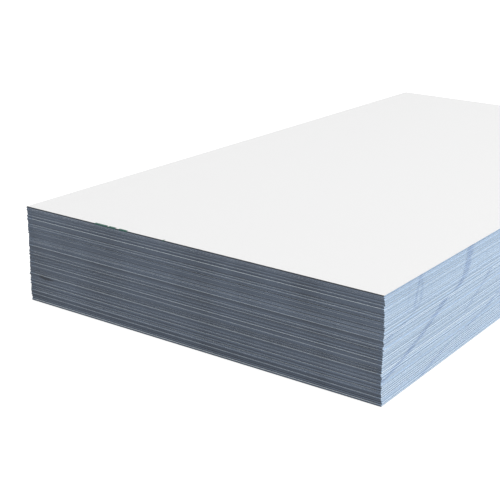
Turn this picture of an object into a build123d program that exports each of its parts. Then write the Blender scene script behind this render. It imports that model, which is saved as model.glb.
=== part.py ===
"""A stack of aluminium composite panels, piled flat as they come off the cutting line.

Each panel is a laminate of three plies: a thin aluminium back skin, a dark polyethylene core and a
thin aluminium face skin with a white coat.  All plies of a panel are sheared together, so they share
one outline.  They are laid down two at a time, so the pile creeps, sways and strays a little on its way
up, and some pairs of panels stand proud at one end or along one side.

Millimetres.  +X runs along the panels' length, +Y along their width, +Z up.  The origin is the centre
of the bottom panel's underside.
"""

import os
from collections import defaultdict
from math import sin, tau
from random import Random

from build123d import *

# One panel
panel_length = 2440.0
panel_width = 1220.0
back_skin_thickness = 0.3
core_thickness = 2.4
face_skin_thickness = 0.3

# The stack, laid down two panels at a time
panel_count = 100
panels_per_lift = 2

# How far the top of the pile has crept along the length, across the width and in yaw
length_creep = -3.4
width_creep = 1.9
yaw_creep_degrees = -0.288

# How far the pile sways to and fro on its way up
width_sway = 0.8
yaw_sway_degrees = -0.06

# How far each lift strays, and each panel in its lift
lift_length_stray = 0.5
lift_width_stray = 0.5
lift_yaw_stray_degrees = 0.03
panel_length_stray = 0.4
panel_width_stray = 0.4
stray_seed = 3

# How far the last panel of each lift stands out past the others, at the -X end and on the -Y side
last_end_overhang = 0.25
last_side_overhang = 1.3

# Pairs of panels that stand proud at the -X end: the most that any stands out, the height of each pair's
# top as a share of the stack's height, and how far each pair stands out as a share of the most
end_overhang = 2.3
end_height_shares = (
    0.02, 0.08, 0.12, 0.14, 0.20, 0.23, 0.25, 0.30, 0.32, 0.38, 0.42,
    0.51, 0.54, 0.60, 0.65, 0.74, 0.77, 0.80, 0.82, 0.88, 0.91, 0.97,
)
end_overhang_shares = (
    0.7, 0.9, 0.8, 0.4, 0.7, 0.7, 0.3, 1.0, 0.5, 0.7, 0.7,
    0.9, 0.6, 1.0, 0.8, 0.8, 0.5, 1.0, 0.4, 0.9, 0.5, 0.5,
)

# Pairs that stand proud on the -Y side, in the same way
side_overhang = 1.3
side_height_shares = (
    0.04, 0.08, 0.15, 0.21, 0.24, 0.27, 0.32, 0.35, 0.38, 0.43, 0.49, 0.53,
    0.57, 0.60, 0.65, 0.67, 0.70, 0.72, 0.75, 0.80, 0.88, 0.93, 0.96,
)
side_overhang_shares = (
    0.9, 0.5, 0.7, 0.7, 0.6, 0.8, 0.8, 0.7, 0.6, 0.8, 0.8, 0.9,
    0.4, 0.4, 0.9, 0.6, 0.9, 0.6, 0.8, 0.7, 0.6, 0.9, 0.6,
)


def make_plies():
    """One panel's three plies on the XY plane, from the underside up, by name."""
    plies = {}
    underside = 0.0
    for name, thickness in (
        ("back_skin", back_skin_thickness),
        ("core", core_thickness),
        ("face_skin", face_skin_thickness),
    ):
        outline = Plane.XY.offset(underside) * Rectangle(panel_length, panel_width)
        plies[name] = extrude(outline, amount=thickness)
        underside += thickness
    return plies, underside


def pair_overhangs(most, height_shares, overhang_shares):
    """How far the panels of the proud pairs stand out, by level."""
    overhangs = defaultdict(float)
    for height_share, overhang_share in zip(height_shares, overhang_shares):
        upper = round(height_share * panel_count) - 1
        for level in (upper - 1, upper):
            overhangs[level] = most * overhang_share
    return overhangs


proud_at_end = pair_overhangs(end_overhang, end_height_shares, end_overhang_shares)
proud_at_side = pair_overhangs(side_overhang, side_height_shares, side_overhang_shares)


def stray(what, number, reach):
    """A random distance of up to this reach either way, always the same for one thing and number."""
    return Random(f"{what} {number} {stray_seed}").uniform(-reach, reach)


def panel_shift(level):
    """How far the panel at this level lies from the bottom one: along X, along Y, and in yaw."""
    if level == 0:
        return 0.0, 0.0, 0.0
    lift = level // panels_per_lift
    last = (level + 1) % panels_per_lift == 0
    height_share = level / (panel_count - 1)
    sway_share = sin(tau * height_share)

    x = length_creep * height_share
    x -= proud_at_end[level] + last_end_overhang * last
    x += stray("lift length", lift, lift_length_stray) + stray("panel length", level, panel_length_stray)

    y = width_creep * height_share + width_sway * sway_share
    y -= proud_at_side[level] + last_side_overhang * last
    y += stray("lift width", lift, lift_width_stray) + stray("panel width", level, panel_width_stray)

    yaw = yaw_creep_degrees * height_share + yaw_sway_degrees * sway_share
    yaw += stray("lift yaw", lift, lift_yaw_stray_degrees)
    return x, y, yaw


def place_name(level):
    """Which part of the stack the panel at this level belongs to."""
    if level == 0:
        return "bottom_panel"
    if level == panel_count - 1:
        return "top_panel"
    return "inner_panels"


def make_stack():
    """All solids of the stack, gathered by node: the plies of the inner panels share a node each."""
    plies, panel_thickness = make_plies()
    nodes = defaultdict(list)
    for level in range(panel_count):
        x, y, yaw = panel_shift(level)
        place = Location((x, y, level * panel_thickness), (0, 0, yaw))
        for ply_name, ply in plies.items():
            nodes[f"{place_name(level)}_{ply_name}"].append((place * ply).solid())
    return nodes


os.makedirs("parts", exist_ok=True)
for node_name, solids in make_stack().items():
    node = Compound(label=node_name, children=solids)
    export_step(node, f"parts/{node_name}.step")
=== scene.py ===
from math import radians

import bpy
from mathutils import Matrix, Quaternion, Vector


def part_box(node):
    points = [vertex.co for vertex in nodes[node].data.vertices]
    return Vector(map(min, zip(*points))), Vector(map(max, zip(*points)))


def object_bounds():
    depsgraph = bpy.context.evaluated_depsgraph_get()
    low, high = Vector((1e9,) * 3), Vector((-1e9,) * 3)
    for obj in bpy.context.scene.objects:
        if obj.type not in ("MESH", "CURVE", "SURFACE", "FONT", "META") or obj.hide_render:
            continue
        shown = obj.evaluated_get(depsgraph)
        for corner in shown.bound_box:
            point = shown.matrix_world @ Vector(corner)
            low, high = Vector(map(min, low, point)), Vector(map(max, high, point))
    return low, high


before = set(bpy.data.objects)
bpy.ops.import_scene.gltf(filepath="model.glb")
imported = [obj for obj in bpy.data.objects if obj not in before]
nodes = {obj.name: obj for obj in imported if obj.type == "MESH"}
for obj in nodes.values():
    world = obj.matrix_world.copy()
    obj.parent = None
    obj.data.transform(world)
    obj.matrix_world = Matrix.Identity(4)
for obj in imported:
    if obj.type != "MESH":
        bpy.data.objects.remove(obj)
cad_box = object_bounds()

# The stack's own sizes in metres, read from the frame
stack_low, stack_high = cad_box
panel_low, panel_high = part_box("bottom_panel_core")
panel_half_width = (panel_high.y - panel_low.y) / 2
sheet_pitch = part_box("top_panel_face_skin")[1].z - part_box("top_panel_back_skin")[0].z
top_panel_middle = stack_high.z - sheet_pitch / 2

# The photograph's frame and camera
sensor_width = 36.0
lens_length = 81.77
camera_place = Vector((-3.5446, -1.7888, 1.2766))
camera_target = Vector((-0.7752, 0.1040, 0.1500))
camera_roll_degrees = 1.284


def make_camera():
    camera = bpy.data.objects.new("camera", bpy.data.cameras.new("camera"))
    bpy.context.scene.collection.objects.link(camera)
    camera.data.sensor_width = sensor_width
    camera.data.lens = lens_length
    aim = (camera_target - camera_place).to_track_quat("-Z", "Y")
    roll = Quaternion((0, 0, 1), radians(camera_roll_degrees))
    camera.rotation_mode = "QUATERNION"
    camera.rotation_quaternion = aim @ roll
    camera.location = camera_place
    bpy.context.scene.camera = camera


# How detailed plain noise is, and the numbers of the sockets at which a Mix node takes and gives colours
plain_detail = 2.0
mix_first = 6
mix_second = 7
mix_result = 2


class Value:
    """One number of a node tree.  Sums written with it become math nodes."""

    def __init__(self, tree, socket):
        self.tree = tree
        self.socket = socket

    def __add__(self, other):
        return self.tree.math("ADD", self, other)

    def __sub__(self, other):
        return self.tree.math("SUBTRACT", self, other)

    def __rsub__(self, other):
        return self.tree.math("SUBTRACT", other, self)

    def __mul__(self, other):
        return self.tree.math("MULTIPLY", self, other)

    def __truediv__(self, other):
        return self.tree.math("DIVIDE", self, other)

    def __pow__(self, other):
        return self.tree.math("POWER", self, other)

    def __abs__(self):
        return self.tree.math("ABSOLUTE", self)

    __radd__ = __add__
    __rmul__ = __mul__


class Tree:
    """A node tree that is written as calls, each of which gives the new node's output."""

    def __init__(self, node_tree):
        self.nodes = node_tree.nodes
        self.links = node_tree.links
        self.nodes.clear()

    def add(self, kind, inputs=None, **settings):
        node = self.nodes.new(kind)
        for name, value in settings.items():
            setattr(node, name, value)
        for key, value in (inputs or {}).items():
            self.fill(node.inputs[key], value)
        return node

    def fill(self, socket, value):
        source = value.socket if isinstance(value, Value) else value
        if isinstance(source, bpy.types.NodeSocket):
            self.links.new(source, socket)
        else:
            socket.default_value = source

    def math(self, operation, *terms):
        node = self.add("ShaderNodeMath", dict(enumerate(terms)), operation=operation)
        return Value(self, node.outputs[0])

    def above(self, value, limit):
        """1 where the value is over the limit, and 0 elsewhere."""
        return self.math("GREATER_THAN", value, limit)

    def most(self, first, second):
        """The larger of two numbers."""
        return self.math("MAXIMUM", first, second)

    def slope(self, value, low, high, start, end, course="LINEAR"):
        """Goes straight from start to end as value goes from low to high."""
        inputs = {"Value": value, "From Min": low, "From Max": high, "To Min": start, "To Max": end}
        node = self.add("ShaderNodeMapRange", inputs, interpolation_type=course)
        return Value(self, node.outputs[0])

    def ramp(self, value, low, high, start=0.0, end=1.0):
        """Goes smoothly from start to end as value goes from low to high."""
        return self.slope(value, low, high, start, end, "SMOOTHSTEP")

    def split(self, kind):
        """A point's X, Y and Z: of its place in metres, kind Object, or of the way it faces, kind Normal."""
        place = self.add("ShaderNodeTexCoord").outputs[kind]
        return [Value(self, part) for part in self.add("ShaderNodeSeparateXYZ", {0: place}).outputs]

    def vector(self, x, y, z):
        return self.add("ShaderNodeCombineXYZ", {0: x, 1: y, 2: z}).outputs[0]

    def noise(self, place, size, detail=plain_detail):
        """Smooth noise from about -1 to 1, with lumps of this size."""
        node = self.add("ShaderNodeTexNoise", {"Vector": place, "Scale": 1 / size, "Detail": detail})
        return Value(self, node.outputs[0]) * 2 - 1

    def steps(self, *numbers):
        """A random number from -1 to 1 for each set of whole numbers."""
        node = self.add("ShaderNodeTexWhiteNoise", {"Vector": self.vector(*numbers)})
        return Value(self, node.outputs[0]) * 2 - 1

    def mix(self, share, first, second):
        inputs = {"Factor": share, mix_first: first, mix_second: second}
        return self.add("ShaderNodeMix", inputs, data_type="RGBA").outputs[mix_result]

    def scale(self, color, shade):
        return self.add("ShaderNodeVectorMath", {0: color, "Scale": shade}, operation="SCALE").outputs[0]

    def multiply(self, color, other):
        return self.add("ShaderNodeVectorMath", {0: color, 1: other}, operation="MULTIPLY").outputs[0]

    def bump(self, height, depth):
        return self.add("ShaderNodeBump", {"Height": height, "Distance": depth}).outputs[0]


def new_material(name):
    material = bpy.data.materials.new(name)
    material.use_nodes = True
    return material, Tree(material.node_tree)


def rgb(red, green, blue):
    return (red, green, blue, 1.0)


def gray(value):
    return rgb(value, value, value)


# Colours of the panels: the coat, the ledges, and each ply's cut edge at the ends and along the sides
coat_color = gray(0.845)
# The ledges are the white coat tinted bluish as painted sky light, lighter at the ends and darker along the
# sides
sky_tinted_end_ledge_color = rgb(0.88, 0.95, 1.00)
sky_tinted_side_ledge_color = rgb(0.62, 0.76, 0.94)
underside_color = rgb(0.50, 0.51, 0.52)
# Each cut edge is one material: its end colour is darkened as painted shade, its side colour lightened and
# bluer as painted light
shaded_end_core_color = rgb(0.093, 0.119, 0.163)
lit_side_core_color = rgb(0.498, 0.627, 0.782)
shaded_end_skin_color = rgb(0.135, 0.166, 0.224)
lit_side_skin_color = rgb(0.597, 0.726, 0.853)

# How far in from the long sides a ledge has their colour
ledge_depth = 0.015

# How much the cut edges differ, as shares of their brightness, at the ends and along the sides: each
# panel alone, whole batches, neighbours, the two of a pair, of which the upper is lighter and the lower
# darker as painted shade under the proud upper one, slow drifts along a panel, and blotches
own_shade_shares = (0.14, 0.06)
batch_shade_shares = (0.10, 0.02)
apart_shade_shares = (0.26, 0.16)
pair_painted_shade_shares = (0.04, 0.16)
drift_shade_shares = (0.12, 0.05)
blotch_shade_shares = (0.42, 0.02)

# How strong the lines between the panels are on the ends, at their -Y and their +Y corner
end_line_shares = (1.30, 0.65)

# How strong the grain of the cut and the haze on the coat are, and the least brightness an edge keeps
grain_shade_share = 0.07
haze_shade_share = 0.008
least_shade_share = 0.35

# The dark rim under the top edge: what it leaves of the brightness, and how far down it reaches
rim_shade_shares = (0.10, 0.86)
rim_heights = (0.0032, 0.003)

# Powers of the brightness in red and green, over 1 where the darker lines are also bluer
red_powers = (1.0, 1.30)
green_powers = (1.0, 1.15)

# Panels in a pair and in a batch, and the number by which each kind of chance is drawn
pair_size = 2.0
batch_size = 5.0
own_draw = 0.0
apart_draw = 1.0
pair_draw = 2.0
batch_draw = 3.0
hold_draw = 4.0

# Sizes of the drifts, the blotches and the grain, how far blotches and grain are drawn out upright, and
# which blotches of the endless noise the stack gets
drift_length = 0.35
blotch_size = 0.16
blotch_rise = 0.6
blotch_shift = 4.0
grain_length = 0.0012
grain_rise = 0.2

# Dark blue streaks on the -Y side, each from its top down through points in X and Z
streak_color = rgb(0.215, 0.320, 0.540)
streak_paths = (
    ((-0.727, 0.300), (-0.742, 0.250), (-0.757, 0.225), (-0.797, 0.200), (-0.815, 0.197)),
    ((-0.877, 0.186), (-0.900, 0.175), (-1.000, 0.130), (-1.100, 0.095), (-1.220, 0.067)),
    ((-1.032, 0.300), (-1.050, 0.260), (-1.066, 0.220)),
    ((-1.032, 0.300), (-1.022, 0.265), (-1.030, 0.225), (-1.080, 0.203), (-1.115, 0.192)),
    ((-0.580, 0.190), (-0.600, 0.175), (-0.660, 0.145), (-0.730, 0.110)),
    ((-0.500, 0.095), (-0.600, 0.070), (-0.750, 0.050), (-0.850, 0.040), (-1.000, 0.008)),
    ((-1.093, 0.300), (-1.102, 0.220)),
    ((-1.110, 0.196), (-1.180, 0.186), (-1.220, 0.165)),
)
streak_strength_shares = (0.72, 0.74, 0.52, 0.48, 0.50, 0.60, 0.24, 0.40)
streak_half_widths = (0.028, 0.030, 0.011, 0.010, 0.017, 0.028, 0.008, 0.025)
streak_core_share = 0.35
streak_fade_height = 0.006
streak_waver = 0.005
streak_waver_length = 0.03
streak_hold_share = 0.5

# Dark smears on the -X end, by Y and Z
smear_color = rgb(0.020, 0.027, 0.040)
smear_places = ((0.545, 0.083), (0.563, 0.088))
smear_half_lengths = (0.032, 0.009)
smear_half_heights = (0.006, 0.005)
smear_speck_size = 0.008
smear_core_share = 0.5
smear_strength_share = 0.9

# Torn strips of film left on the top panel's -X edge, by Y: how far they hang down and lap over it, how
# large their tears are, and how ragged their ends
film_color = rgb(0.002, 0.080, 0.055)
film_middles = (0.318, 0.276, 0.236, 0.088)
film_lengths = (0.049, 0.026, 0.030, 0.006)
film_height = 0.0036
film_lap = 0.0060
film_tear = 0.004
film_raggedness = 0.0014

# A surface faces a direction where its normal has more than this share of it
facing_share = 0.5


class Edge:
    """Where a point of the stack is: its panel's level, which way it faces, and how far along it lies."""

    def __init__(self, tree):
        self.x, self.y, self.z = tree.split("Object")
        normal_x, normal_y, normal_z = tree.split("Normal")
        self.side = tree.above(abs(normal_y), facing_share)
        self.front_side = tree.above(0.0 - normal_y, facing_share)
        self.front_end = tree.above(0.0 - normal_x, facing_share)
        self.up = tree.above(normal_z, facing_share)
        self.down = tree.above(0.0 - normal_z, facing_share)
        self.level = tree.math("FLOOR", self.z / sheet_pitch)
        self.along = self.x * self.side + self.y * (1 - self.side)

    def choose(self, pair):
        """The first of a pair of numbers at the ends, the second along the sides."""
        at_ends, along_sides = pair
        return self.side * (along_sides - at_ends) + at_ends


def edge_lines(tree, edge):
    """How much brighter or darker than the rest a panel's cut edge is."""
    own = tree.steps(edge.level, edge.side, own_draw)
    next_level = edge.level + 1
    apart = tree.steps(edge.level, edge.side, apart_draw) - tree.steps(next_level, edge.side, apart_draw)
    batch = tree.math("FLOOR", edge.level / batch_size)
    # Painted shade: the lower panel of each pair darker, the upper, proud one lighter
    upper = 2 * tree.math("FLOORED_MODULO", edge.level, pair_size) - 1
    pair = upper * (tree.steps(batch, edge.side, pair_draw) + 1)
    lines = own * edge.choose(own_shade_shares) + apart * edge.choose(apart_shade_shares)
    lines = lines + pair * edge.choose(pair_painted_shade_shares)
    lines = lines + tree.steps(batch, edge.side, batch_draw) * edge.choose(batch_shade_shares)
    strength = tree.slope(edge.y, stack_low.y, stack_high.y, *end_line_shares)
    return lines * (strength + edge.side * (1 - strength))


def edge_shade(tree, edge):
    """Brightness of a cut edge: its panel's own, with slow drifts, blotches and the grain of the cut."""
    drift = tree.noise(tree.vector(edge.along, edge.level, edge.side), drift_length)
    blotch = tree.noise(tree.vector(edge.x + blotch_shift, edge.y, edge.z * blotch_rise), blotch_size)
    grain = tree.noise(tree.vector(edge.along, edge.z * grain_rise, 0.0), grain_length)
    shade = 1 + edge_lines(tree, edge)
    shade = shade + drift * edge.choose(drift_shade_shares) + blotch * edge.choose(blotch_shade_shares)
    shade = tree.most(shade + grain * grain_shade_share, least_shade_share)
    rim = tree.above(edge.z + edge.choose(rim_heights), stack_high.z)
    return shade * (1 - rim * (1 - edge.choose(rim_shade_shares)))


def path_place(tree, path, z):
    """How far along X a path of points lies at this height."""
    place = path[0][0]
    for (x, high), (next_x, low) in zip(path, path[1:]):
        place = tree.slope(z, low, high, next_x - x, 0.0) + place
    return place


def streak_share(tree, edge):
    """How much of a streak covers a point of the -Y side.  Some panels show more of it than others."""
    waver = tree.noise(tree.vector(edge.x, edge.z, 0.0), streak_waver_length) * streak_waver
    hold = tree.slope(tree.steps(edge.level, edge.side, hold_draw), -1.0, 1.0, streak_hold_share, 1.0)
    most = 0.0
    for path, strength, half_width in zip(streak_paths, streak_strength_shares, streak_half_widths):
        off = abs(edge.x + waver - path_place(tree, path, edge.z))
        inside = tree.ramp(off, half_width * streak_core_share, half_width, strength, 0.0)
        top, foot = path[0][1], path[-1][1]
        inside = inside * tree.ramp(edge.z, foot - streak_fade_height, foot)
        inside = inside * tree.ramp(edge.z, top, top + streak_fade_height, 1.0, 0.0)
        most = tree.most(inside, most)
    return most * hold * edge.front_side


def smear_share(tree, edge):
    """How much of a dark smear covers a point of the -X end."""
    speck = tree.noise(tree.vector(edge.y, edge.z, 0.0), smear_speck_size)
    most = 0.0
    for (y, z), half_length, half_height in zip(smear_places, smear_half_lengths, smear_half_heights):
        off = (abs(edge.y - y) / half_length) ** 2 + (abs(edge.z - z) / half_height) ** 2 + speck
        inside = tree.ramp(off, smear_core_share, 1.0, smear_strength_share, 0.0)
        most = tree.most(inside, most)
    return most * edge.front_end


def top_end_line():
    """The top panel's -X edge: how far out it lies where Y is 0, and how much X grows with Y."""
    corners = [vertex.co for vertex in nodes["top_panel_face_skin"].data.vertices]
    near = min(corners, key=lambda corner: corner.x + corner.y)
    far = min(corners, key=lambda corner: corner.x - corner.y)
    slant = (far.x - near.x) / (far.y - near.y)
    return near.x - near.y * slant, slant


def film_share(tree, edge):
    """Where strips of film are folded over the top edge at the -X end."""
    line_x, slant = top_end_line()
    ragged = tree.noise(tree.vector(edge.y, 0.0, 0.0), film_tear) * film_raggedness
    laps = tree.above(ragged + film_lap, edge.x - edge.y * slant - line_x) * edge.up
    hangs = tree.above(edge.z + ragged + film_height, stack_high.z)
    tear = tree.noise(tree.vector(edge.y, edge.z, 0.0), film_tear) * film_tear
    most = 0.0
    for middle, length in zip(film_middles, film_lengths):
        within = length / 2 - abs(edge.y + tear - middle)
        most = tree.most(tree.above(within, 0.0), most)
    return most * hangs * tree.most(laps, edge.front_end)


def edge_color(tree, edge, shaded_end_color, lit_side_color):
    """The colour of a ply's cut edge: darker at the ends as painted shade and lighter along the sides as
    painted light, with its streaks and smears.
    """
    # Painted shade at the ends, painted light along the sides
    color = tree.mix(edge.side, shaded_end_color, lit_side_color)
    color = tree.mix(streak_share(tree, edge), color, streak_color)
    shade = edge_shade(tree, edge)
    red, green = (shade ** edge.choose(powers) for powers in (red_powers, green_powers))
    color = tree.multiply(color, tree.vector(red, green, shade))
    return tree.mix(smear_share(tree, edge), color, smear_color)


# Finish of the surfaces.  The slice keeps the marks of the cut apart from its grain in the same noise
cut_roughness = 0.62
cut_roughness_change = 0.12
cut_depth = 0.00008
marks_slice = 1.0
coat_roughness = 0.42
coat_roughness_change = 0.06
peel_size = 0.004
peel_depth = 0.00002
haze_size = 0.25
haze_detail = 4.0


def finish_material(tree, edge, color, roughness, normal):
    """Joins a material's colour, under its strips of film, with its finish."""
    color = tree.mix(film_share(tree, edge), color, film_color)
    finish = {"Base Color": color, "Roughness": roughness, "Normal": normal}
    shader = tree.add("ShaderNodeBsdfPrincipled", finish)
    tree.add("ShaderNodeOutputMaterial", {"Surface": shader.outputs[0]})


def cut_finish(tree, edge):
    """Roughness and normal of a sheared edge, with its fine upright marks."""
    marks = tree.noise(tree.vector(edge.along, edge.z * grain_rise, marks_slice), grain_length)
    return marks * cut_roughness_change + cut_roughness, tree.bump(marks, cut_depth)


def core_material():
    """The plastic core, which shows at its cut edges alone."""
    material, tree = new_material("core_edge")
    edge = Edge(tree)
    color = edge_color(tree, edge, shaded_end_core_color, lit_side_core_color)
    finish_material(tree, edge, color, *cut_finish(tree, edge))
    return material


def back_skin_material():
    """Bare metal, plain on the underside."""
    material, tree = new_material("back_skin_metal")
    edge = Edge(tree)
    color = edge_color(tree, edge, shaded_end_skin_color, lit_side_skin_color)
    color = tree.mix(edge.down, color, underside_color)
    finish_material(tree, edge, color, *cut_finish(tree, edge))
    return material


def coat_material():
    """White coat on the top panel's face; the ledges that show below it take it tinted bluish as painted sky
    light.
    """
    material, tree = new_material("white_coat")
    edge = Edge(tree)
    beside = tree.above(abs(edge.y), panel_half_width - ledge_depth)
    below = tree.above(top_panel_middle, edge.z)
    # Ledges below the top panel: the coat tinted as painted sky light
    face = tree.mix(below, coat_color, tree.mix(beside, sky_tinted_end_ledge_color, sky_tinted_side_ledge_color))
    haze = tree.noise(tree.vector(edge.x, edge.y, edge.z), haze_size, haze_detail)
    face = tree.scale(face, 1 + haze * haze_shade_share)
    color = tree.mix(edge.up, edge_color(tree, edge, shaded_end_skin_color, lit_side_skin_color), face)
    peel = tree.noise(tree.vector(edge.x, edge.y, edge.z), peel_size)
    roughness = haze * coat_roughness_change + coat_roughness
    finish_material(tree, edge, color, roughness, tree.bump(peel, peel_depth))
    return material


def dress_panels():
    made = {"core": core_material(), "back_skin": back_skin_material(), "face_skin": coat_material()}
    for name, node in nodes.items():
        ply = next(ply for ply in made if name.endswith(ply))
        for slot in node.material_slots:
            slot.material = made[ply]


# Studio
floor_half_size = 12.0
floor_gap = 0.0005
floor_color = gray(0.6)
floor_glow_strength = 0.72
glow_color = gray(1.0)
sky_color = gray(1.0)
sky_strength = 0.5
seen_sky_strength = 1.0
key_place = Vector((3.0, -9.2, 10.4))
key_size = 8.0
key_power = 1000.0
rim_place = Vector((-4.5, 1.0, 10.0))
rim_size = 6.0
rim_power = 250.0


def seen_share(tree):
    """1 where the camera sees a thing, straight on or through a mirror or glass."""
    rays = tree.add("ShaderNodeLightPath").outputs
    camera, glossy, through = (rays[f"Is {kind} Ray"] for kind in ("Camera", "Glossy", "Transmission"))
    return tree.most(camera, tree.most(glossy, through))


def make_floor():
    """A matt floor that glows where it is seen, so that it looks pale and lights the stack no more."""
    half = floor_half_size
    corners = [(-half, -half, 0.0), (half, -half, 0.0), (half, half, 0.0), (-half, half, 0.0)]
    mesh = bpy.data.meshes.new("floor")
    mesh.from_pydata(corners, [], [range(len(corners))])
    floor = bpy.data.objects.new("floor", mesh)
    floor.location.z = stack_low.z - floor_gap
    bpy.context.scene.collection.objects.link(floor)
    material, tree = new_material("floor")
    matt = tree.add("ShaderNodeBsdfDiffuse", {"Color": floor_color}).outputs[0]
    strength = seen_share(tree) * floor_glow_strength
    glow = tree.add("ShaderNodeEmission", {"Color": glow_color, "Strength": strength}).outputs[0]
    both = tree.add("ShaderNodeAddShader", {0: matt, 1: glow}).outputs[0]
    tree.add("ShaderNodeOutputMaterial", {"Surface": both})
    mesh.materials.append(material)


def make_sky():
    """An even sky, white where it is seen and dimmer where it only lights."""
    world = bpy.data.worlds.new("studio")
    bpy.context.scene.world = world
    world.use_nodes = True
    tree = Tree(world.node_tree)
    strength = seen_share(tree) * (seen_sky_strength - sky_strength) + sky_strength
    sky = tree.add("ShaderNodeBackground", {"Color": sky_color, "Strength": strength}).outputs[0]
    tree.add("ShaderNodeOutputWorld", {"Surface": sky})


def make_lamp(name, place, size, power):
    """A square soft light that faces the middle of the stack's top."""
    lamp = bpy.data.objects.new(name, bpy.data.lights.new(name, "AREA"))
    bpy.context.scene.collection.objects.link(lamp)
    lamp.data.shape = "SQUARE"
    lamp.data.size = size
    lamp.data.energy = power
    lamp.location = place
    lamp.rotation_mode = "QUATERNION"
    lamp.rotation_quaternion = (Vector((0.0, 0.0, stack_high.z)) - place).to_track_quat("-Z", "Y")


make_camera()
dress_panels()
make_floor()
make_sky()
make_lamp("key", key_place, key_size, key_power)
make_lamp("rim", rim_place, rim_size, rim_power)

bpy.context.scene.view_settings.view_transform = "Standard"
